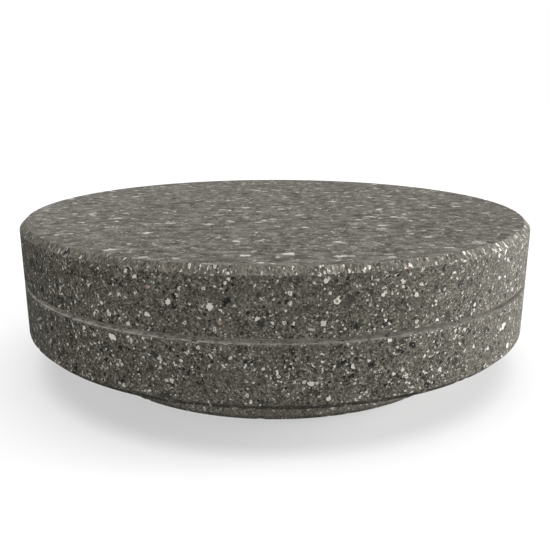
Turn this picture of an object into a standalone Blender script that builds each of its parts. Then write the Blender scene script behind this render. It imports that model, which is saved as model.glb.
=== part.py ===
"""Round granite slab for leather tooling: a static stone anvil for mallet work.

Two calibrated stone discs are bedded on each other, the bed held back from the rim so that a shadow
line runs all the way round.  A smaller stone disc bedded underneath is the foot, and leaves room for
fingers under the rim.  A rubber sheet under the foot keeps the slab from creeping on the bench.

Metres, +Z up.  The origin is on the turning axis, where the rubber sheet rests on the bench.
"""

from math import radians

import bmesh
import bpy

# Stone body: two discs of the same diameter.
SLAB_RADIUS = 0.145
TOP_SLAB_THICKNESS = 0.0300
BOTTOM_SLAB_THICKNESS = 0.0302
TOP_CHAMFER = 0.0031
BOTTOM_CHAMFER = 0.0033

# Bed between the two discs, held back from the rim to leave the shadow line.
JOINT_HEIGHT = 0.0026
JOINT_RECESS = 0.0034

# Foot: a smaller disc on a thin bed.
FOOT_RADIUS = 0.1130
FOOT_THICKNESS = 0.0200
FOOT_CHAMFER = 0.0033
FOOT_BED_HEIGHT = 0.0010
FOOT_BED_RECESS = 0.0020

# Rubber sheet under the foot, inset from the edge of the foot's flat underside.
PAD_THICKNESS = 0.0015
PAD_INSET = 0.0045

# Space left between two pieces that rest on each other.
SEAT_GAP = 0.0003

# Sides of every circle.
SIDES = 256

# Name, base colour (linear), roughness and metallic value of each material.
GRANITE = ("granite", (0.105, 0.098, 0.085), 0.55, 0.0)
MORTAR = ("mortar", (0.120, 0.112, 0.098), 0.85, 0.0)
RUBBER = ("rubber", (0.018, 0.018, 0.019), 0.80, 0.0)


def clear_scene():
    """Remove every object, so that the model starts from an empty scene."""
    for obj in list(bpy.data.objects):
        bpy.data.objects.remove(obj, do_unlink=True)


def make_material(finish):
    """A Principled material with one flat finish."""
    name, colour, roughness, metallic = finish
    material = bpy.data.materials.new(name)
    material.use_nodes = True
    shader = material.node_tree.nodes["Principled BSDF"]
    shader.inputs["Base Color"].default_value = (*colour, 1.0)
    shader.inputs["Roughness"].default_value = roughness
    shader.inputs["Metallic"].default_value = metallic
    return material


def chamfer_rim(bm, height, leg):
    """Cut the sharp rim at one height back at 45 degrees, by the same leg on both faces."""
    rim = [
        edge for edge in bm.edges
        if all(abs(vert.co.z - height) < 1e-6 for vert in edge.verts)
    ]
    bmesh.ops.bevel(
        bm, geom=rim, offset=leg, offset_type="OFFSET", segments=1,
        profile=0.5, affect="EDGES", clamp_overlap=False, material=-1,
    )


def make_disc(name, base, thickness, radius, material, top_chamfer=0.0, bottom_chamfer=0.0):
    """One solid disc standing on the height `base`, with optional chamfered rims.

    Returns the height of its top face.
    """
    bm = bmesh.new()
    bmesh.ops.create_cone(
        bm, cap_ends=True, cap_tris=False, segments=SIDES,
        radius1=radius, radius2=radius, depth=thickness,
    )
    if top_chamfer:
        chamfer_rim(bm, thickness / 2, top_chamfer)
    if bottom_chamfer:
        chamfer_rim(bm, -thickness / 2, bottom_chamfer)
    bmesh.ops.recalc_face_normals(bm, faces=bm.faces)

    mesh = bpy.data.meshes.new(name)
    bm.to_mesh(mesh)
    bm.free()
    mesh.shade_smooth()
    mesh.set_sharp_from_angle(angle=radians(30))
    mesh.materials.append(material)

    disc = bpy.data.objects.new(name, mesh)
    disc.location.z = base + thickness / 2
    bpy.context.scene.collection.objects.link(disc)
    return base + thickness


def make_bed(name, base, height, radius, material):
    """A bed that fills a joint of the given height, less the seat gap on each side.

    Returns the height at which the stone above the joint starts.
    """
    make_disc(name, base + SEAT_GAP, height - 2 * SEAT_GAP, radius, material)
    return base + height


def main():
    clear_scene()
    granite = make_material(GRANITE)
    mortar = make_material(MORTAR)
    rubber = make_material(RUBBER)

    pad_radius = FOOT_RADIUS - FOOT_CHAMFER - PAD_INSET
    level = make_disc("base_pad", 0.0, PAD_THICKNESS, pad_radius, rubber)
    level = make_disc(
        "foot_disc", level + SEAT_GAP, FOOT_THICKNESS, FOOT_RADIUS, granite,
        bottom_chamfer=FOOT_CHAMFER,
    )
    level = make_bed("foot_bed", level, FOOT_BED_HEIGHT, FOOT_RADIUS - FOOT_BED_RECESS, mortar)
    level = make_disc(
        "bottom_slab", level, BOTTOM_SLAB_THICKNESS, SLAB_RADIUS, granite,
        bottom_chamfer=BOTTOM_CHAMFER,
    )
    level = make_bed("joint_bed", level, JOINT_HEIGHT, SLAB_RADIUS - JOINT_RECESS, mortar)
    make_disc(
        "top_slab", level, TOP_SLAB_THICKNESS, SLAB_RADIUS, granite,
        top_chamfer=TOP_CHAMFER,
    )


main()
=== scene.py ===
"""Visible pieces, finishes and stage for a round granite tooling slab.

Every piece takes its size and place from the loaded frame.  Metres, +Z up.
"""

import random
from math import cos, pi, radians, sin

import bmesh
import bpy
import numpy as np
from bpy.props import FloatProperty, FloatVectorProperty, IntProperty, PointerProperty
from bpy.types import Operator, Panel, PropertyGroup
from mathutils import Matrix, Vector, noise


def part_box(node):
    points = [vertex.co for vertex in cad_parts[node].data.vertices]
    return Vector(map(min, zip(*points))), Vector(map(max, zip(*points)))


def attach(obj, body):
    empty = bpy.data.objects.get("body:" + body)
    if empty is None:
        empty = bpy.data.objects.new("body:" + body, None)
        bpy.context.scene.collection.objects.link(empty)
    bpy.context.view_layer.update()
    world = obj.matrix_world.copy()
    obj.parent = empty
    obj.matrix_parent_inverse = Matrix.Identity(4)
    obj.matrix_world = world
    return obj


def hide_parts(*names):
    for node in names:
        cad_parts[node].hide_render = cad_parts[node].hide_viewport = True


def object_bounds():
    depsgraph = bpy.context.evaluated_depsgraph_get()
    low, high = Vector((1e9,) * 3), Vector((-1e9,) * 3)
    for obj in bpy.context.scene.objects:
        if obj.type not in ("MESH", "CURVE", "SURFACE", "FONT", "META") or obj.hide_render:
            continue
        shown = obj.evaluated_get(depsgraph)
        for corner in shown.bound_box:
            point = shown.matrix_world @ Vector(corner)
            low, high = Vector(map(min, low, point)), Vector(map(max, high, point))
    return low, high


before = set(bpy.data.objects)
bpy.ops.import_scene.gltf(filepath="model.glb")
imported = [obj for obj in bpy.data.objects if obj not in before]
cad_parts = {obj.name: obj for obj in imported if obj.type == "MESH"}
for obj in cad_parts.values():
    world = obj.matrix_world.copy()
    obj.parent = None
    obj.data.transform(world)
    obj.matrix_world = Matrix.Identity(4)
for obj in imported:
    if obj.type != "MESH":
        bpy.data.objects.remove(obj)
cad_low, cad_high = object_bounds()

bl_info = {
    "name": "Granite Tooling Slab",
    "version": (1, 0, 0),
    "blender": (4, 5, 0),
    "location": "View3D > Sidebar > Granite Slab",
    "description": "Builds the stone discs, bedding mortar, rubber pad and stage of a granite slab",
    "category": "Object",
}

MILLIMETRE = 0.001
WHITE = (1.0, 1.0, 1.0, 1.0)

# Heights closer than this are the same, a chamfer smaller than this is none, and vertices closer
# than this are one.
SAME_HEIGHT = 0.00001
LEAST_CHAMFER = 0.0001
MERGE_DISTANCE = 0.000001

# Copies of one sector that make up a full turn.
SECTORS = 24

# A corner of an outline that turns by more than this is eased, and an edge of a piece that turns by
# more than this is shaded sharp.
ARRIS_TURN = radians(20)
SHARP_ANGLE = radians(32)

# Specular level of the stone and the mortar, and the node group that all the finishes share.
STONE_SHEEN = 0.14
GRAIN_GROUP = "Scattered Grains"


# ---------------------------------------------------------------- settings


def length_property(name, description, default):
    """A length in metres that the sidebar shows in the scene's unit."""
    return FloatProperty(
        name=name, description=description, default=default, min=0.0,
        precision=5, unit="LENGTH", subtype="DISTANCE",
    )


def colour_property(name, description, default):
    """A linear colour."""
    return FloatVectorProperty(
        name=name, description=description, default=default, size=3,
        min=0.0, max=1.0, subtype="COLOR",
    )


class CuttingSettings(PropertyGroup):
    """How the stone discs were cut and how their edges have worn."""

    sides: IntProperty(
        name="Sides", description="Flats around each disc", default=1080, min=64, max=1440,
    )
    easing: length_property(
        "Arris easing", "How far each sharp edge is rubbed back", 0.00022,
    )
    lip: length_property(
        "Worn lip", "How far the upper edge of a disc is worn back at the joint above it", 0.00025,
    )
    collar: length_property(
        "Worn collar", "Width beside each edge that is fine enough to hold a chip", 0.0026,
    )
    chip_depth: length_property(
        "Chip depth", "Depth of the deepest edge chip", 0.0007,
    )
    chips: IntProperty(
        name="Chips", description="Edge chips on each arris", default=34, min=0, max=200,
    )
    # How pale and rough the saw leaves the foot: the roughness is real, and the paleness is painted
    # light that lifts the foot out of the shade under the body.
    sawn_and_painted_light: FloatProperty(
        name="Sawn foot", description="How pale and rough the foot is left by the saw", default=0.9,
        min=0.0, max=1.0,
    )


class GraniteSettings(PropertyGroup):
    """Colours and grain sizes of the stone."""

    ground: colour_property("Ground", "Fine matrix of the stone", (0.079, 0.073, 0.059))
    ground_dark: colour_property("Dark ground", "Dark side of the mottling", (0.030, 0.028, 0.022))
    ground_pale: colour_property("Pale ground", "Pale side of the mottling", (0.200, 0.188, 0.157))
    pale_speck: colour_property("Pale speck", "Small grey grains", (0.265, 0.250, 0.212))
    handled: colour_property("Handled", "Film of wax and dye on the work face", (0.087, 0.081, 0.070))
    stain: colour_property("Stain", "Dark stains on the work face", (0.026, 0.024, 0.020))
    polished: colour_property("Polished", "Pale, rubbed places on the work face", (0.165, 0.156, 0.137))
    # Painted shade: dark colour on the lower edge of the body, whose underside faces away from the
    # light.
    underside_shade: colour_property("Grease", "Hand grease on the lower edge of the body", (0.014, 0.012, 0.009))
    worn_chip: colour_property("Worn chip", "Large chips seen through the film", (0.53, 0.517, 0.468))
    feldspar: colour_property("Feldspar", "White and cream chips", (0.63, 0.61, 0.56))
    tan: colour_property("Tan grain", "Pinkish tan grains", (0.27, 0.205, 0.160))
    pebble: colour_property("Dark pebble", "Rounded dark inclusions", (0.028, 0.028, 0.024))
    mica: colour_property("Black fleck", "Small black flecks", (0.007, 0.007, 0.006))


class MortarSettings(PropertyGroup):
    """Bedding mortar in the joints."""

    # The paste is the mortar's colour, made paler as painted light against the shade inside the joints.
    paste: colour_property("Paste", "Cement paste", (0.245, 0.230, 0.198))
    sand: colour_property("Sand", "Pale sand grains in the paste", (0.42, 0.41, 0.37))
    grit: colour_property("Grit", "Crushed dark stone in the paste", (0.022, 0.021, 0.018))
    # Painted shade and painted light on the ledge inside the joint: the dark colour is left on the
    # right, and the pale one lights the ledge on the left and in front, where the joint shades it.
    painted_ledge_shade: colour_property("Damp", "Mortar on the ledge where it has stayed damp", (0.070, 0.065, 0.056))
    painted_ledge_light: colour_property("Lime bloom", "Pale lime where the mortar has dried out", (0.88, 0.835, 0.74))
    hollow: length_property("Tooled hollow", "Depth of the hollow tooled into the joint", 0.0002)
    cove_height: length_property("Cove height", "Height of the sloped mortar left on the ledge", 0.0012)


class RubberSettings(PropertyGroup):
    """Non-slip sheet under the foot."""

    rubber: colour_property("Rubber", "Black sheet rubber", (0.018, 0.018, 0.019))
    dust: colour_property("Dust", "Stone dust caught in the surface", (0.16, 0.15, 0.13))
    groove_pitch: length_property("Groove pitch", "Distance between grip grooves", 0.009)
    groove_depth: length_property("Groove depth", "Depth of a grip groove", 0.0004)


class StageSettings(PropertyGroup):
    """Camera, light and floor."""

    lens_angle: FloatProperty(
        name="Lens angle", description="Field of view of the camera",
        default=radians(45.0), unit="ROTATION", subtype="ANGLE",
    )
    tilt: FloatProperty(
        name="Camera tilt", description="How far the camera looks down",
        default=radians(15.02), unit="ROTATION", subtype="ANGLE",
    )
    distance: length_property(
        "Camera distance", "Level distance from the turning axis", 0.39794,
    )
    rise: length_property("Camera rise", "Height above the work face", 0.06493)
    overhead: FloatProperty(
        name="Overhead light", description="Strength of the soft light above", default=3.38, min=0.0,
    )
    key: FloatProperty(
        name="Key light", description="Strength of the soft light from the right", default=8.1, min=0.0,
    )
    front: FloatProperty(
        name="Front light", description="Strength of the low soft light in front", default=2.65, min=0.0,
    )
    back: FloatProperty(
        name="Back light", description="Strength of the low soft fill behind on the left", default=0.4,
        min=0.0,
    )
    ambient: FloatProperty(
        name="Ambient light", description="Strength of the even light all round", default=0.2, min=0.0,
    )
    floor: colour_property("Floor", "Pale studio floor", (0.36, 0.36, 0.36))
    glow: FloatProperty(
        name="Floor glow", default=0.5, min=0.0,
        description="Light in the floor that only the camera sees, as in a light table",
    )
    floor_bounce: colour_property(
        "Floor bounce", "Floor as the slab sees it, which keeps the underside in shade",
        (0.15, 0.15, 0.15),
    )


class SlabSettings(PropertyGroup):
    """All settings of the slab, in the order in which its pieces are made."""

    cutting: PointerProperty(type=CuttingSettings)
    granite: PointerProperty(type=GraniteSettings)
    mortar: PointerProperty(type=MortarSettings)
    rubber: PointerProperty(type=RubberSettings)
    stage: PointerProperty(type=StageSettings)


# ---------------------------------------------------------------- shader nodes

# A Mix node's two inputs and its output, by number, for colours and for vectors.
MIX_COLOURS = (6, 7, 2)
MIX_VECTORS = (4, 5, 1)


def add_node(tree, kind, values=None, **options):
    """Add one node, set its options, and set or link its inputs."""
    node = tree.nodes.new(kind)
    for name, value in options.items():
        setattr(node, name, value)
    for name, value in (values or {}).items():
        if isinstance(value, bpy.types.NodeSocket):
            tree.links.new(value, node.inputs[name])
        else:
            node.inputs[name].default_value = value
    return node


def maths(tree, operation, first, second=0.0, third=0.0):
    """One Math node's result."""
    node = add_node(tree, "ShaderNodeMath", {0: first, 1: second, 2: third}, operation=operation)
    return node.outputs["Value"]


def vector_maths(tree, operation, first, second=(0.0, 0.0, 0.0)):
    """One Vector Math node's vector result."""
    node = add_node(tree, "ShaderNodeVectorMath", {0: first, 1: second}, operation=operation)
    return node.outputs["Vector"]


def scaled(tree, vector, factor):
    """A vector times one number."""
    node = add_node(
        tree, "ShaderNodeVectorMath", {"Vector": vector, "Scale": factor}, operation="SCALE",
    )
    return node.outputs["Vector"]


def ramp(tree, value, low, high, start=0.0, end=1.0):
    """A value taken smoothly from start at `low` to end at `high`."""
    node = add_node(
        tree, "ShaderNodeMapRange",
        {"Value": value, "From Min": low, "From Max": high, "To Min": start, "To Max": end},
        interpolation_type="SMOOTHSTEP",
    )
    return node.outputs["Result"]


def blend(tree, mask, under, over):
    """Colour `over` laid on colour `under` where the mask is 1."""
    under, over = (
        value if isinstance(value, bpy.types.NodeSocket) else (*value[:3], 1.0)
        for value in (under, over)
    )
    node = add_node(
        tree, "ShaderNodeMix", {"Factor": mask, MIX_COLOURS[0]: under, MIX_COLOURS[1]: over},
        data_type="RGBA",
    )
    return node.outputs[MIX_COLOURS[2]]


def choose_place(tree, mask, under, over):
    """Place `over` where the mask is 1, and place `under` elsewhere."""
    node = add_node(
        tree, "ShaderNodeMix", {"Factor": mask, MIX_VECTORS[0]: under, MIX_VECTORS[1]: over},
        data_type="VECTOR",
    )
    return node.outputs[MIX_VECTORS[2]]


def colour_band(tree, value, stops):
    """A colour read from a band of (position, colour) stops."""
    node = add_node(tree, "ShaderNodeValToRGB", {"Fac": value})
    band = node.color_ramp.elements
    while len(band) < len(stops):
        band.new(0.5)
    for element, (position, colour) in zip(band, stops):
        element.position = position
        element.color = (*colour[:3], 1.0)
    return node.outputs["Color"]


def mark_value(tree, name):
    """A number that is stored on the mesh under one name."""
    node = add_node(tree, "ShaderNodeAttribute", attribute_name=name, attribute_type="GEOMETRY")
    return node.outputs["Fac"]


def noise_value(tree, vector, scale, detail=2.0, roughness=0.5):
    """Fractal noise with about `scale` features per metre."""
    node = add_node(
        tree, "ShaderNodeTexNoise",
        {"Vector": vector, "Scale": scale, "Detail": detail, "Roughness": roughness},
    )
    return node.outputs["Fac"]


def new_group(name, inputs, outputs):
    """An empty node group with named inputs and outputs. Returns its tree, inputs and outputs."""
    tree = bpy.data.node_groups.new(name, "ShaderNodeTree")
    for label, kind, default in inputs:
        socket = tree.interface.new_socket(label, in_out="INPUT", socket_type=kind)
        if default is not None:
            socket.default_value = default
    for label, kind in outputs:
        tree.interface.new_socket(label, in_out="OUTPUT", socket_type=kind)
    entry = tree.nodes.new("NodeGroupInput")
    leave = tree.nodes.new("NodeGroupOutput")
    return tree, entry.outputs, leave.inputs


def use_group(tree, group, values):
    """Place a node group in a tree. Returns its outputs."""
    node = tree.nodes.new("ShaderNodeGroup")
    node.node_tree = group
    for name, value in values.items():
        if isinstance(value, bpy.types.NodeSocket):
            tree.links.new(value, node.inputs[name])
        else:
            node.inputs[name].default_value = value
    return node.outputs


def build_grain_group():
    """Scattered grains: one slim, turned, ragged grain in some of the cells of a random grid.

    Outputs a mask of the grains, a mask of their cores, and a random tone for each grain.
    """
    # How far the grains lean to a box's shape, and the smallest grain's size over the largest's.
    squareness, smallest = 1.3, 0.35
    # Where a grain's core starts and where it is whole, as shares of the grain's reach.
    core_edge, core_middle = 0.62, 0.45
    tree, given, made = new_group(
        GRAIN_GROUP,
        [
            ("Vector", "NodeSocketVector", None),
            ("Cell", "NodeSocketFloat", 0.004),
            ("Share", "NodeSocketFloat", 0.2),
            ("Reach", "NodeSocketFloat", 0.4),
            ("Slimness", "NodeSocketFloat", 1.0),
            ("Raggedness", "NodeSocketFloat", 0.3),
            ("Softness", "NodeSocketFloat", 0.06),
            ("Seed", "NodeSocketFloat", 0.0),
        ],
        [
            ("Mask", "NodeSocketFloat"),
            ("Core", "NodeSocketFloat"),
            ("Tone", "NodeSocketFloat"),
        ],
    )
    per_cell = maths(tree, "DIVIDE", 1.0, given["Cell"])
    place = scaled(tree, given["Vector"], per_cell)
    place = vector_maths(tree, "ADD", place, given["Seed"])

    wobble = add_node(tree, "ShaderNodeTexNoise", {"Vector": place, "Scale": 2.2, "Detail": 2.0})
    wobble = vector_maths(tree, "SUBTRACT", wobble.outputs["Color"], (0.5, 0.5, 0.5))
    ragged = vector_maths(tree, "ADD", place, scaled(tree, wobble, given["Raggedness"]))

    cells = add_node(
        tree, "ShaderNodeTexVoronoi", {"Vector": ragged, "Scale": 1.0}, feature="F1",
    )
    dice = add_node(
        tree, "ShaderNodeTexWhiteNoise", {"Vector": cells.outputs["Color"]}, noise_dimensions="3D",
    )
    rolls = add_node(tree, "ShaderNodeSeparateColor", {"Color": dice.outputs["Color"]})

    away = vector_maths(tree, "SUBTRACT", ragged, cells.outputs["Position"])
    turned = add_node(
        tree, "ShaderNodeVectorRotate",
        {"Vector": away, "Rotation": scaled(tree, cells.outputs["Color"], 2 * pi)},
        rotation_type="EULER_XYZ",
    )
    slimmer = maths(tree, "MULTIPLY_ADD", given["Slimness"], rolls.outputs["Green"], 1.0)
    squash = add_node(
        tree, "ShaderNodeCombineXYZ", {"X": 1.0, "Y": slimmer, "Z": maths(tree, "SQRT", slimmer)},
    )
    stretched = vector_maths(tree, "MULTIPLY", turned.outputs["Vector"], squash.outputs["Vector"])
    round_reach = add_node(tree, "ShaderNodeVectorMath", {0: stretched}, operation="LENGTH")
    sides = add_node(
        tree, "ShaderNodeSeparateXYZ", {"Vector": vector_maths(tree, "ABSOLUTE", stretched)},
    )
    square_reach = maths(tree, "MAXIMUM", sides.outputs["Y"], sides.outputs["Z"])
    square_reach = maths(tree, "MAXIMUM", sides.outputs["X"], square_reach)
    reach = maths(tree, "MULTIPLY_ADD", square_reach, squareness, round_reach.outputs["Value"])
    reach = maths(tree, "MULTIPLY", reach, 0.5)
    size_roll = maths(tree, "DIVIDE", dice.outputs["Value"], given["Share"])
    chosen = maths(tree, "LESS_THAN", size_roll, 1.0)
    size = maths(tree, "MULTIPLY_ADD", size_roll, 1.0 - smallest, smallest)
    limit = maths(tree, "MULTIPLY", given["Reach"], size)
    inner = maths(tree, "SUBTRACT", limit, given["Softness"])
    tree.links.new(maths(tree, "MULTIPLY", ramp(tree, reach, limit, inner), chosen), made["Mask"])
    edge = maths(tree, "MULTIPLY", limit, core_edge)
    middle = maths(tree, "MULTIPLY", limit, core_middle)
    core = ramp(tree, reach, edge, middle)
    tree.links.new(maths(tree, "MULTIPLY", core, chosen), made["Core"])
    tree.links.new(rolls.outputs["Blue"], made["Tone"])
    return tree


# Kinds of grain, from the bottom layer to the top: colour setting, cell in millimetres, share of
# cells that hold one, reach in cells, slimness, raggedness, softness, lowest and highest strength.
GRAIN_KINDS = (
    ("pebble", 5.2, 0.30, 0.66, 1.2, 0.55, 0.10, 0.60, 1.00),
    ("pale_speck", 1.2, 0.36, 0.66, 2.2, 0.90, 0.20, 0.30, 0.90),
    ("mica", 1.8, 0.36, 0.68, 1.8, 0.90, 0.08, 0.80, 1.00),
    ("mica", 3.8, 0.22, 0.60, 2.2, 0.90, 0.06, 0.80, 1.00),
    ("tan", 2.2, 0.16, 0.62, 2.4, 0.80, 0.18, 0.40, 0.95),
    ("feldspar", 2.8, 0.16, 0.62, 5.0, 0.60, 0.12, 0.40, 1.00),
    ("feldspar", 1.25, 0.22, 0.68, 2.2, 0.90, 0.12, 0.40, 1.00),
    ("feldspar", 2.3, 0.20, 0.66, 2.6, 0.80, 0.08, 0.50, 1.00),
    ("feldspar", 4.0, 0.09, 0.58, 2.6, 0.70, 0.06, 0.75, 1.00),
    ("pebble", 3.8, 0.16, 0.60, 2.4, 0.60, 0.08, 0.86, 1.00),
)

# Seed of the first kind, and what each further kind adds to it.
FIRST_SEED = 7.3
SEED_STEP = 11.7

# How much of the stone the work face's film, the painted shade on the lower edge of the body and a
# bruise hide.  The bruise is paler stone: real wear on chips and arrises, and painted light over the
# whole foot, against the shade under the body.
FILM_COVER = 0.66
UNDERSIDE_SHADE_COVER = 0.38
BRUISE_AND_LIGHT_COVER = 0.45

# Scale of the film's pattern, which the wiping has stretched from side to side.
FILM_SCALE = (0.75, 1.0, 1.0)

# Marks in the film: colour setting, cell in millimetres, share of cells that hold one, and seed.
FILM_SPOTS = (
    ("stain", 4.6, 0.30, 131.0),
    ("worn_chip", 4.8, 0.38, 157.0),
)


def mottled_ground(tree, place, mottle, look):
    """Fine matrix of the stone, from crystals, small mottling and larger patches."""
    patch = noise_value(tree, place, 300.0, 2.0, 0.55)
    crystals = add_node(tree, "ShaderNodeTexVoronoi", {"Vector": place, "Scale": 1350.0}, feature="F1")
    crystal = add_node(tree, "ShaderNodeSeparateColor", {"Color": crystals.outputs["Color"]})
    tone = maths(tree, "MULTIPLY_ADD", crystal.outputs["Red"], 0.45, -0.35)
    tone = maths(tree, "MULTIPLY_ADD", mottle, 0.9, tone)
    tone = maths(tree, "MULTIPLY_ADD", patch, 0.35, tone)
    return colour_band(tree, tone, (
        (0.28, look.ground_dark), (0.47, look.ground), (0.56, look.ground), (0.82, look.ground_pale),
    ))


def work_face_film(tree, place, grains, look):
    """Film of wax and dye, wiped one way, with stains and the larger chips showing through."""
    wiped = vector_maths(tree, "MULTIPLY", place, FILM_SCALE)
    smudge = noise_value(tree, wiped, 200.0, 3.0, 0.6)
    film = colour_band(tree, smudge, ((0.34, look.stain), (0.5, look.handled), (0.66, look.polished)))
    for name, cell, share, seed in FILM_SPOTS:
        spots = use_group(tree, grains, {
            "Vector": wiped, "Cell": cell * MILLIMETRE, "Share": share, "Reach": 0.60, "Slimness": 1.8,
            "Raggedness": 0.8, "Softness": 0.12, "Seed": seed,
        })
        strength = maths(tree, "MULTIPLY_ADD", spots["Tone"], 0.6, 0.4)
        film = blend(tree, maths(tree, "MULTIPLY", spots["Mask"], strength), film, getattr(look, name))
    return film


def build_granite_group(grains, look):
    """The stone's colour, roughness and relief at a point."""
    tree, given, made = new_group(
        "Honed Granite",
        [
            ("Vector", "NodeSocketVector", None),
            ("Wear", "NodeSocketFloat", 0.0),
            ("Handled", "NodeSocketFloat", 0.0),
            ("Grip", "NodeSocketFloat", 0.0),
        ],
        [
            ("Colour", "NodeSocketColor"),
            ("Roughness", "NodeSocketFloat"),
            ("Height", "NodeSocketFloat"),
        ],
    )
    place = given["Vector"]
    drift = noise_value(tree, place, 38.0, 1.0)
    crowd = ramp(tree, drift, 0.34, 0.66, 0.7, 1.35)
    mottle = noise_value(tree, place, 1100.0, 3.0, 0.65)
    colour = mottled_ground(tree, place, mottle, look)

    white = 0.0
    black = 0.0
    for number, kind in enumerate(GRAIN_KINDS):
        name, cell, share, reach, slimness, raggedness, softness, weakest, strongest = kind
        grain = use_group(tree, grains, {
            "Vector": place, "Cell": cell * MILLIMETRE, "Share": maths(tree, "MULTIPLY", crowd, share),
            "Reach": reach, "Slimness": slimness, "Raggedness": raggedness,
            "Softness": softness, "Seed": FIRST_SEED + SEED_STEP * number,
        })
        mask = grain["Mask"]
        if name == "feldspar":
            holed = maths(tree, "GREATER_THAN", grain["Tone"], 0.75)
            hole = maths(tree, "MULTIPLY", grain["Core"], holed)
            mask = maths(tree, "MULTIPLY", mask, maths(tree, "MULTIPLY_ADD", hole, -0.75, 1.0))
            white = maths(tree, "MAXIMUM", mask, white)
        strength = maths(tree, "MULTIPLY_ADD", grain["Tone"], strongest - weakest, weakest)
        colour = blend(tree, maths(tree, "MULTIPLY", mask, strength), colour, getattr(look, name))
        if name == "mica":
            black = maths(tree, "MAXIMUM", mask, black)

    film = work_face_film(tree, place, grains, look)
    colour = blend(tree, maths(tree, "MULTIPLY", given["Handled"], FILM_COVER), colour, film)
    # Painted shade: the lower edge of the body is darkened where its underside faces away from the
    # light.
    colour = blend(tree, maths(tree, "MULTIPLY", given["Grip"], UNDERSIDE_SHADE_COVER), colour, look.underside_shade)
    # Paler stone, from real wear on chips and arrises and from painted light over the whole foot, which
    # stands in the shade under the body.
    bruised_and_lit = blend(tree, BRUISE_AND_LIGHT_COVER, colour, look.ground_pale)
    worn = maths(tree, "MULTIPLY", given["Wear"], ramp(tree, mottle, 0.3, 0.6))
    tree.links.new(blend(tree, worn, colour, bruised_and_lit), made["Colour"])

    rough = maths(tree, "MULTIPLY_ADD", mottle, 0.16, 0.62)
    rough = maths(tree, "MULTIPLY_ADD", white, -0.10, rough)
    rough = maths(tree, "MULTIPLY_ADD", given["Wear"], 0.12, rough)
    rough = maths(tree, "MULTIPLY_ADD", given["Grip"], -0.10, rough)
    tree.links.new(rough, made["Roughness"])

    relief = maths(tree, "MULTIPLY_ADD", white, 0.35, mottle)
    tree.links.new(maths(tree, "MULTIPLY_ADD", black, -0.5, relief), made["Height"])
    return tree


def principled(name):
    """A new material with its Principled node and tree."""
    material = bpy.data.materials.new(name)
    material.use_nodes = True
    tree = material.node_tree
    return material, tree, tree.nodes["Principled BSDF"]


def drawn_out(tree, place):
    """A place on a chamfer, such that grains are slimmer round the rim and longer down the slope."""
    # Scale of the pattern round the rim and down the slope.
    round_rim, down_slope = 1.25, 0.75
    outward = vector_maths(tree, "NORMALIZE", vector_maths(tree, "MULTIPLY", place, (1.0, 1.0, 0.0)))
    rim = scaled(tree, outward, round_rim * cad_high.x)
    slope = vector_maths(tree, "MULTIPLY", place, (0.0, 0.0, down_slope))
    return vector_maths(tree, "ADD", rim, slope)


def granite_material(name, granite, shift, turn):
    """Honed granite, with the pattern moved and turned so that no two discs match.

    On the chamfers the grains are drawn out down the slope, as a grinding wheel leaves them.
    """
    material, tree, shader = principled(name)
    place = add_node(tree, "ShaderNodeTexCoord").outputs["Object"]
    dragged = maths(tree, "GREATER_THAN", mark_value(tree, "dragged"), 0.5)
    place = choose_place(tree, dragged, place, drawn_out(tree, place))
    moved = add_node(
        tree, "ShaderNodeMapping", {"Vector": place, "Location": shift, "Rotation": turn},
    )
    # The marks read here also carry painted light on the foot and painted shade on the lower edge of the
    # body.
    stone = use_group(tree, granite, {
        "Vector": moved.outputs["Vector"], "Wear": mark_value(tree, "wear"),
        "Handled": mark_value(tree, "handled"), "Grip": mark_value(tree, "grip"),
    })
    bump = add_node(
        tree, "ShaderNodeBump", {"Height": stone["Height"], "Strength": 0.35, "Distance": 0.00012},
    )
    tree.links.new(stone["Colour"], shader.inputs["Base Color"])
    tree.links.new(stone["Roughness"], shader.inputs["Roughness"])
    tree.links.new(bump.outputs["Normal"], shader.inputs["Normal"])
    shader.inputs["Specular IOR Level"].default_value = STONE_SHEEN
    return material


def mortar_material(grains, look):
    """Mortar of sand and crushed stone, with painted light and painted shade where it lies on the ledge.
    """
    material, tree, shader = principled("bedding_mortar")
    place = add_node(tree, "ShaderNodeTexCoord").outputs["Object"]
    sand = use_group(tree, grains, {
        "Vector": place, "Cell": 0.0012, "Share": 0.35, "Reach": 0.55,
        "Slimness": 1.0, "Raggedness": 0.6, "Softness": 0.15, "Seed": 3.0,
    })
    grit = use_group(tree, grains, {
        "Vector": place, "Cell": 0.0019, "Share": 0.38, "Reach": 0.60,
        "Slimness": 1.0, "Raggedness": 0.6, "Softness": 0.15, "Seed": 21.0,
    })
    cloud = noise_value(tree, place, 420.0, 3.0, 0.6)
    # The paste is paler than the mortar's own colour, as painted light against the shade inside the
    # joint.
    colour = blend(tree, maths(tree, "MULTIPLY", sand["Mask"], sand["Tone"]), look.paste, look.sand)
    # Painted light on the ledge, laid over painted shade where the light is least.
    painted_light_share = maths(tree, "MULTIPLY", mark_value(tree, "bloom"), ramp(tree, cloud, 0.38, 0.58, 0.40, 1.1))
    ledge_light_and_shade = blend(tree, painted_light_share, look.painted_ledge_shade, look.painted_ledge_light)
    colour = blend(tree, mark_value(tree, "ledge"), colour, ledge_light_and_shade)
    colour = blend(tree, maths(tree, "MULTIPLY", grit["Mask"], 0.8), colour, look.grit)
    tree.links.new(colour, shader.inputs["Base Color"])
    tree.links.new(ramp(tree, cloud, 0.3, 0.7, 0.78, 0.92), shader.inputs["Roughness"])
    relief = maths(tree, "MULTIPLY_ADD", sand["Mask"], 0.7, cloud)
    bump = add_node(tree, "ShaderNodeBump", {"Height": relief, "Strength": 0.6, "Distance": 0.00015})
    tree.links.new(bump.outputs["Normal"], shader.inputs["Normal"])
    shader.inputs["Specular IOR Level"].default_value = STONE_SHEEN
    return material


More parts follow.
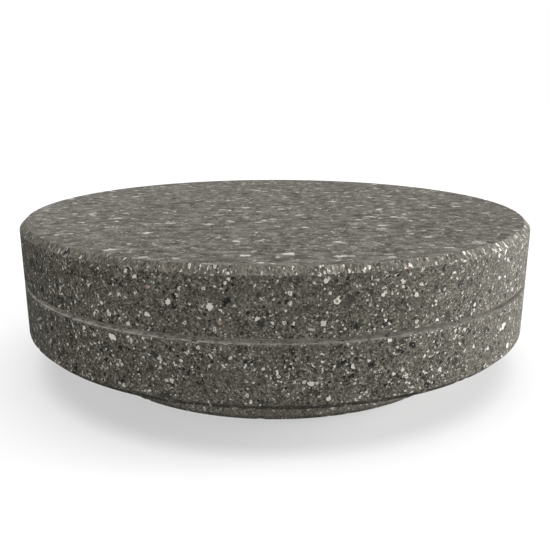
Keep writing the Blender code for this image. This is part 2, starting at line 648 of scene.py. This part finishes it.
def rubber_material(grains, look):
    """Black sheet rubber with stone dust in its surface."""
    material, tree, shader = principled("sheet_rubber")
    place = add_node(tree, "ShaderNodeTexCoord").outputs["Object"]
    dust = use_group(tree, grains, {
        "Vector": place, "Cell": 0.0014, "Share": 0.16, "Reach": 0.30,
        "Slimness": 1.0, "Raggedness": 0.5, "Softness": 0.2, "Seed": 9.0,
    })
    cloud = noise_value(tree, place, 160.0, 3.0, 0.6)
    haze = maths(tree, "MULTIPLY", ramp(tree, cloud, 0.45, 0.75), 0.12)
    colour = blend(tree, haze, look.rubber, look.dust)
    colour = blend(tree, maths(tree, "MULTIPLY", dust["Mask"], 0.45), colour, look.dust)
    tree.links.new(colour, shader.inputs["Base Color"])
    tree.links.new(ramp(tree, cloud, 0.3, 0.7, 0.68, 0.86), shader.inputs["Roughness"])
    pebbled = noise_value(tree, place, 1600.0, 2.0)
    bump = add_node(tree, "ShaderNodeBump", {"Height": pebbled, "Strength": 0.5, "Distance": 0.0001})
    tree.links.new(bump.outputs["Normal"], shader.inputs["Normal"])
    return material


# ---------------------------------------------------------------- shapes


def face_radius(node, height):
    """Radius of a turned node's flat face at one height."""
    rim = [
        Vector((vert.co.x, vert.co.y)).length
        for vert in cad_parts[node].data.vertices
        if abs(vert.co.z - height) < SAME_HEIGHT
    ]
    return max(rim)


def disc_corners(node, lip):
    """Corners of a disc's outline, from the middle of its top face round to the middle of its underside.

    A disc with no chamfer at the top has its upper edge worn back by the lip.
    """
    low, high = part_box(node)
    radius = high.x
    corners = [(0.0, high.z), (face_radius(node, high.z), high.z)]
    top_leg = radius - corners[-1][0]
    if top_leg < LEAST_CHAMFER:
        top_leg = lip
        corners[-1] = (radius - lip, high.z)
    corners.append((radius, high.z - top_leg))
    base_radius = face_radius(node, low.z)
    base_leg = radius - base_radius
    if base_leg > LEAST_CHAMFER:
        corners.append((radius, low.z + base_leg))
    corners.append((base_radius, low.z))
    corners.append((0.0, low.z))
    return corners


def string_wire(points):
    """A wire through the points in turn, in a new bmesh."""
    bm = bmesh.new()
    verts = [bm.verts.new(point) for point in points]
    for pair in zip(verts, verts[1:]):
        bm.edges.new(pair)
    return bm


def draw_outline(corners, easing, collar):
    """A wire of the outline, with each corner eased and a finely divided collar beside it.

    Returns the wire and the places of the corners.
    """
    collar_cuts, longest_fine = 6, 3 * collar
    points = []
    for here, after in zip(corners, corners[1:]):
        start = Vector((here[0], 0.0, here[1]))
        run = Vector((after[0], 0.0, after[1])) - start
        points.append(start)
        if run.length > longest_fine:
            if here[0] > 0.0:
                points.append(start + run * (collar / run.length))
            if after[0] > 0.0:
                points.append(start + run * (1 - collar / run.length))
    points.append(Vector((corners[-1][0], 0.0, corners[-1][1])))
    bm = string_wire(points)
    arrises = [vert for vert in bm.verts if len(vert.link_edges) == 2 and turn_at(vert) > ARRIS_TURN]
    corner_places = [vert.co.copy() for vert in arrises]
    bmesh.ops.bevel(
        bm, geom=arrises, offset=easing, offset_type="OFFSET", segments=3, profile=0.5,
        affect="VERTICES", clamp_overlap=False, material=-1,
    )
    fine = [edge for edge in bm.edges if 2 * easing < edge.calc_length() < longest_fine]
    bmesh.ops.subdivide_edges(bm, edges=fine, cuts=collar_cuts)
    return bm, corner_places


def turn_at(vert):
    """Angle by which a wire turns at a vertex."""
    one, two = (edge.other_vert(vert).co - vert.co for edge in vert.link_edges)
    return pi - one.angle(two)


def turn_wire(bm, sides):
    """Turn a wire in the XZ plane about the Z axis into a closed solid, one sector at a time."""
    bmesh.ops.spin(
        bm, geom=bm.verts[:] + bm.edges[:], cent=(0, 0, 0), axis=(0, 0, 1), dvec=(0, 0, 0),
        angle=2 * pi / SECTORS, steps=round(sides / SECTORS),
    )
    sector = bm.verts[:] + bm.edges[:] + bm.faces[:]
    for number in range(1, SECTORS):
        copy = bmesh.ops.duplicate(bm, geom=sector)["geom"]
        bmesh.ops.rotate(
            bm, verts=[part for part in copy if isinstance(part, bmesh.types.BMVert)],
            cent=(0, 0, 0), matrix=Matrix.Rotation(2 * pi * number / SECTORS, 3, "Z"),
        )
    bmesh.ops.remove_doubles(bm, verts=bm.verts, dist=MERGE_DISTANCE)
    bmesh.ops.recalc_face_normals(bm, faces=bm.faces)
    # Spinning makes the faces in no fixed order, so their vertices' numbers set it here.
    bm.verts.index_update()
    bm.faces.sort(key=lambda face: sum(vert.index ** 2 for vert in face.verts))


def finish_piece(name, bm, material, node):
    """Turn a bmesh into a shaded object that stands for a CAD node."""
    mesh = bpy.data.meshes.new(name)
    bm.to_mesh(mesh)
    bm.free()
    mesh.shade_smooth()
    mesh.set_sharp_from_angle(angle=SHARP_ANGLE)
    mesh.materials.append(material)
    piece = bpy.data.objects.new(name, mesh)
    bpy.context.scene.collection.objects.link(piece)
    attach(piece, "root")
    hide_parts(node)
    return piece


# Chips: each is scooped by a ball that stands outside the arris.  A random size between two limits,
# to a power that makes small chips the commoner ones, is its share of the depth of the deepest chip.
CHIP_SIZES = (0.25, 1.0)
CHIP_POWER = 1.5
# Radius of the ball over the depth of the chip, and how steeply the ball stands off the arris.
CHIP_BALLS = (4.0, 9.0)
CHIP_SLOPES = (0.3, 1.2)

# How worn an arris is between its chips, where a chip has 1.
ARRIS_WEAR = 0.4


def chip_edges(mesh, corners, settings, seed, sawn_and_painted_light):
    """Scoop small chips out of the arrises and mark the worn stone in the `wear` attribute."""
    rng = random.Random(seed)
    count = len(mesh.vertices)
    places = np.empty(count * 3)
    mesh.vertices.foreach_get("co", places)
    places = places.reshape(-1, 3)
    # A disc starts wholly marked with its sawn value, which on the foot pales the stone as painted light
    # against the shade under the body, besides leaving it rougher.
    wear = np.full(count, sawn_and_painted_light)
    middle = sum(corner.z for corner in corners) / len(corners)
    for corner in corners:
        out_up = 1.0 if corner.z > middle else -1.0
        ring = np.hypot(np.hypot(places[:, 0], places[:, 1]) - corner.x, places[:, 2] - corner.z)
        wear = np.maximum(wear, ARRIS_WEAR * np.clip(1.0 - ring / (3 * settings.easing), 0.0, 1.0))
        for _ in range(settings.chips):
            angle = rng.uniform(0.0, 2 * pi)
            depth = settings.chip_depth * rng.uniform(*CHIP_SIZES) ** CHIP_POWER
            ball = depth * rng.uniform(*CHIP_BALLS)
            outward = np.array([cos(angle), sin(angle), out_up * rng.uniform(*CHIP_SLOPES)])
            outward /= np.linalg.norm(outward)
            edge = np.array([corner.x * cos(angle), corner.x * sin(angle), corner.z])
            centre = edge + outward * (ball - depth)
            away = places - centre
            reach = np.linalg.norm(away, axis=1)
            inside = reach < ball
            if not inside.any():
                continue
            places[inside] = centre + away[inside] * (ball / reach[inside])[:, None]
            wear[inside] = 1.0
    mesh.vertices.foreach_set("co", places.ravel())
    mark(mesh, "wear", wear)
    mesh.update()


def mark(mesh, name, values):
    """Store one number for each vertex of a mesh, for its material to read."""
    layer = mesh.attributes.new(name, "FLOAT", "POINT")
    layer.data.foreach_set("value", values)


def mark_drag(mesh, heights, corners, easing):
    """Mark the chamfers, where two neighbouring corners differ in both radius and height."""
    dragged = np.zeros(len(heights))
    for upper, lower in zip(corners, corners[1:]):
        if abs(upper.x - lower.x) > easing:
            dragged[(heights < upper.z) & (heights > lower.z)] = 1.0
    mark(mesh, "dragged", dragged)


# Film of the work face: how deep under the face it is whole, how strong it is just under the upper
# arris, and how far down the rim it fades out.
FILM_EDGE = 0.00005
FILM_ON_RIM = 0.35
FILM_RUN = 0.006

# Painted shade on the lower edge of the body, whose underside faces away from the light: how far up the
# body it reaches, and over what height it fades out.
UNDERSIDE_SHADE_HEIGHT = 0.004
UNDERSIDE_SHADE_FADE = 0.001


def mark_film(mesh, heights, face):
    """Mark the film that covers the work face and runs a little way down the rim."""
    sunk = face - heights
    rim = FILM_ON_RIM * np.clip(1.0 - sunk / FILM_RUN, 0.0, 1.0)
    mark(mesh, "handled", np.where(sunk < FILM_EDGE, 1.0, rim))


def mark_underside_shade(mesh, heights, underside):
    """Mark the lower edge of the body, which is darkened with painted shade."""
    # The grip mark holds painted shade on the lower edge of the body.
    mark(mesh, "grip", np.clip((underside + UNDERSIDE_SHADE_HEIGHT - heights) / UNDERSIDE_SHADE_FADE, 0.0, 1.0))


# ---------------------------------------------------------------- operators


class SLAB_OT_stone_discs(Operator):
    """Cut the two body discs and the foot disc, chip their edges and give them honed granite"""

    bl_idname = "slab.stone_discs"
    bl_label = "Stone discs"

    def execute(self, context):
        settings = context.scene.granite_slab
        cutting = settings.cutting
        granite = build_granite_group(bpy.data.node_groups[GRAIN_GROUP], settings.granite)
        # Node, move and turn of its pattern, seed of its chips, and roughness of its sawing, which also
        # pales the foot as painted light against the shade under the body.
        discs = (
            ("top_slab", (0.31, 0.12, 0.05), (0.3, 0.2, 0.0), 11, 0.0),
            ("bottom_slab", (1.27, 0.83, 0.41), (0.1, -0.4, 1.1), 23, 0.0),
            ("foot_disc", (2.19, 1.46, 0.77), (-0.2, 0.3, 2.3), 37, cutting.sawn_and_painted_light),
        )
        for node, shift, turn, seed, sawn_and_painted_light in discs:
            wire, corners = draw_outline(disc_corners(node, cutting.lip), cutting.easing, cutting.collar)
            turn_wire(wire, cutting.sides)
            stone = granite_material(f"granite_{node}", granite, shift, turn)
            piece = finish_piece(f"{node}_stone", wire, stone, node)
            chip_edges(piece.data, corners, cutting, seed, sawn_and_painted_light)
            heights = np.array([vert.co.z for vert in piece.data.vertices])
            mark_drag(piece.data, heights, corners, cutting.easing)
            if node == "top_slab":
                mark_film(piece.data, heights, cad_high.z)
            if node == "bottom_slab":
                mark_underside_shade(piece.data, heights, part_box(node)[0].z)
        return {"FINISHED"}


# Uneven surface of the mortar: bumps to the metre, and their height in millimetres.
MORTAR_BUMPS = ((300, 0.16), (900, 0.09))

# Painted light and shade on the ledge: places across the ledge, as shares of its width, and the painted
# light at each, which is strongest deeper in, where the joint shades the ledge most, and fades towards
# the mouth of the joint.  Along the joint it goes from the most, on the left, to none, on the right,
# where the ledge is left in painted shade.
LEDGE_LIGHT_PLACES = (0.28, 0.55, 0.75, 0.92)
LEDGE_LIGHT_AMOUNTS = (1.35, 1.65, 0.92, 0.36)
LEDGE_LIGHT_MIDDLE = 0.56
LEDGE_LIGHT_SLOPE = 0.60
LEDGE_LIGHT_MOST = 0.92

# Share of the ledge's width over which the mortar takes on the painted light and shade of the ledge.
LEDGE_FADE = 0.1


class SLAB_OT_bedding_mortar(Operator):
    """Fill both joints with sanded mortar, tooled back to a hollow and slightly uneven"""

    bl_idname = "slab.bedding_mortar"
    bl_label = "Bedding mortar"

    def execute(self, context):
        settings = context.scene.granite_slab
        material = mortar_material(bpy.data.node_groups[GRAIN_GROUP], settings.mortar)
        joints = (
            ("joint_bed", "bottom_slab", "top_slab"),
            ("foot_bed", "foot_disc", "bottom_slab"),
        )
        for node, below, above in joints:
            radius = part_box(node)[1].x
            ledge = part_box(below)[1].x - radius - 2 * settings.cutting.lip
            floor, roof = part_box(below)[1].z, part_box(above)[0].z
            self.fill_joint(settings, node, radius, ledge, floor, roof, material)
        return {"FINISHED"}

    def fill_joint(self, settings, node, radius, ledge, floor, roof, material):
        """One turned bed of mortar between two faces of stone, with a cove left on the ledge."""
        steps = 8
        cove = min(settings.mortar.cove_height, (roof - floor) / 2)
        hollow = min(settings.mortar.hollow, cove)
        points = [Vector((0.0, 0.0, roof))]
        for step in range(steps + 1):
            down = step / steps
            inset = hollow * sin(pi * down)
            points.append(Vector((radius - inset, 0.0, roof - (roof - floor - cove) * down)))
        bead = min(cove / 2, ledge / 4)
        for step in range(steps + 1):
            turn = step / steps * pi / 2
            points.append(Vector((
                radius + ledge - bead * (1 - sin(turn)), 0.0, floor + bead * cos(turn),
            )))
        points.append(Vector((0.0, 0.0, floor)))
        bm = string_wire(points)
        turn_wire(bm, settings.cutting.sides)
        for vert in bm.verts:
            reach = vert.co.xy.length
            if reach > radius / 2:
                bump = sum(height * noise.noise(vert.co * pitch) for pitch, height in MORTAR_BUMPS)
                vert.co.xy *= 1 + bump * MILLIMETRE / reach
        piece = finish_piece(f"{node}_mortar", bm, material, node)
        places = np.array([vert.co for vert in piece.data.vertices])
        out = (np.hypot(places[:, 0], places[:, 1]) - radius) / ledge
        # Painted light on the ledge: strongest deeper in, where the joint shades it most, and falling
        # from left to right, so that the ledge on the right keeps its painted shade.
        across = np.interp(out, LEDGE_LIGHT_PLACES, LEDGE_LIGHT_AMOUNTS)
        along = np.clip(LEDGE_LIGHT_MIDDLE - LEDGE_LIGHT_SLOPE * places[:, 0] / radius, 0.0, LEDGE_LIGHT_MOST)
        mark(piece.data, "bloom", across * along)
        mark(piece.data, "ledge", np.clip(out / LEDGE_FADE, 0.0, 1.0))


class SLAB_OT_rubber_pad(Operator):
    """Make the rubber sheet under the foot, with bevelled edges and turned grip grooves"""

    bl_idname = "slab.rubber_pad"
    bl_label = "Rubber pad"

    def execute(self, context):
        settings = context.scene.granite_slab
        look = settings.rubber
        low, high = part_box("base_pad")
        radius = high.x
        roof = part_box("foot_disc")[0].z
        bevel = (high.z - low.z) / 5
        points = [(0.0, roof), (radius - bevel, roof), (radius, roof - bevel)]
        points += [(radius, low.z + bevel), (radius - bevel, low.z)]
        grooves = int((radius - look.groove_pitch) / look.groove_pitch)
        half_groove = look.groove_pitch / 9
        for number in range(grooves, 0, -1):
            middle = number * look.groove_pitch
            points += [
                (middle + half_groove, low.z), (middle + half_groove / 2, low.z + look.groove_depth),
                (middle - half_groove / 2, low.z + look.groove_depth), (middle - half_groove, low.z),
            ]
        points.append((0.0, low.z))
        bm = string_wire((across, 0.0, up) for across, up in points)
        turn_wire(bm, settings.cutting.sides // 3)
        material = rubber_material(bpy.data.node_groups[GRAIN_GROUP], look)
        finish_piece("base_pad_rubber", bm, material, "base_pad")
        return {"FINISHED"}


# Half the width of the floor, and its depth under the pad.
FLOOR_REACH = 15.0
FLOOR_DROP = 0.00005

# Lights: name, which is also their setting, direction in which they stand, and width in degrees.
LIGHTS = (
    ("overhead", (0.0, 0.0, 1.0), 60.0),
    ("key", (1.0, 0.17, 0.14), 30.0),
    ("front", (0.0, -1.0, 0.09), 30.0),
    ("back", (-0.45, 0.9, 0.03), 24.0),
)


class SLAB_OT_stage(Operator):
    """Set the pale floor, the soft studio lights, the camera and the colour management"""

    bl_idname = "slab.stage"
    bl_label = "Stage"

    def execute(self, context):
        settings = context.scene.granite_slab.stage
        self.lay_floor(settings)
        self.hang_lights(settings)
        self.place_camera(context, settings)
        context.scene.view_settings.view_transform = "Standard"
        return {"FINISHED"}

    def lay_floor(self, settings):
        """A wide flat floor just under the pad."""
        bm = bmesh.new()
        bmesh.ops.create_grid(bm, x_segments=1, y_segments=1, size=FLOOR_REACH)
        bmesh.ops.translate(bm, verts=bm.verts, vec=(0.0, 0.0, -FLOOR_DROP))
        mesh = bpy.data.meshes.new("floor")
        bm.to_mesh(mesh)
        bm.free()
        floor = bpy.data.objects.new("floor", mesh)
        bpy.context.scene.collection.objects.link(floor)
        material, tree, shader = principled("pale_floor")
        path = add_node(tree, "ShaderNodeLightPath")
        colour = blend(tree, path.outputs["Is Camera Ray"], settings.floor_bounce, settings.floor)
        tree.links.new(colour, shader.inputs["Base Color"])
        glow = maths(tree, "MULTIPLY", path.outputs["Is Camera Ray"], settings.glow)
        tree.links.new(glow, shader.inputs["Emission Strength"])
        shader.inputs["Emission Color"].default_value = WHITE
        shader.inputs["Roughness"].default_value = 1.0
        shader.inputs["Specular IOR Level"].default_value = 0.0
        mesh.materials.append(material)

    def hang_lights(self, settings):
        """Soft lights above, low on the right, low in front and behind, and a little light all round."""
        for name, direction, width in LIGHTS:
            light = bpy.data.lights.new(name, "SUN")
            light.energy = getattr(settings, name)
            light.angle = radians(width)
            lamp = bpy.data.objects.new(name, light)
            lamp.rotation_euler = Vector(direction).to_track_quat("Z", "Y").to_euler()
            bpy.context.scene.collection.objects.link(lamp)
        world = bpy.data.worlds.new("studio")
        world.use_nodes = True
        tree = world.node_tree
        around = tree.nodes["Background"]
        around.inputs["Color"].default_value = WHITE
        around.inputs["Strength"].default_value = settings.ambient
        backdrop = add_node(tree, "ShaderNodeBackground", {"Color": WHITE, "Strength": 1.0})
        path = add_node(tree, "ShaderNodeLightPath")
        either = add_node(tree, "ShaderNodeMixShader", {0: path.outputs["Is Camera Ray"]})
        tree.links.new(around.outputs["Background"], either.inputs[1])
        tree.links.new(backdrop.outputs["Background"], either.inputs[2])
        tree.links.new(either.outputs["Shader"], tree.nodes["World Output"].inputs["Surface"])
        bpy.context.scene.world = world

    def place_camera(self, context, settings):
        """A camera in front of the slab, just above its work face."""
        lens = bpy.data.cameras.new("camera")
        lens.sensor_width = 36.0
        lens.angle = settings.lens_angle
        camera = bpy.data.objects.new("camera", lens)
        camera.location = (0.0, -settings.distance, cad_high.z + settings.rise)
        camera.rotation_euler = (pi / 2 - settings.tilt, 0.0, 0.0)
        context.scene.collection.objects.link(camera)
        context.scene.camera = camera


class SLAB_PT_sidebar(Panel):
    """Settings and steps of the granite slab"""

    bl_label = "Granite Slab"
    bl_space_type = "VIEW_3D"
    bl_region_type = "UI"
    bl_category = "Granite Slab"

    def draw(self, context):
        settings = context.scene.granite_slab
        for title, group in (
            ("Cutting", settings.cutting), ("Granite", settings.granite), ("Mortar", settings.mortar),
            ("Rubber", settings.rubber), ("Stage", settings.stage),
        ):
            box = self.layout.box()
            box.label(text=title)
            for name in group.__annotations__:
                box.prop(group, name)
        for step in STEPS:
            self.layout.operator(step.bl_idname)


STEPS = (SLAB_OT_stone_discs, SLAB_OT_bedding_mortar, SLAB_OT_rubber_pad, SLAB_OT_stage)
CLASSES = (
    CuttingSettings, GraniteSettings, MortarSettings, RubberSettings, StageSettings,
    SlabSettings, *STEPS, SLAB_PT_sidebar,
)


def register():
    for cls in CLASSES:
        bpy.utils.register_class(cls)
    bpy.types.Scene.granite_slab = PointerProperty(type=SlabSettings)


def unregister():
    del bpy.types.Scene.granite_slab
    for cls in reversed(CLASSES):
        bpy.utils.unregister_class(cls)


def main():
    register()
    build_grain_group()
    bpy.ops.slab.stone_discs()
    bpy.ops.slab.bedding_mortar()
    bpy.ops.slab.rubber_pad()
    bpy.ops.slab.stage()


if __name__ == "__main__":
    main()
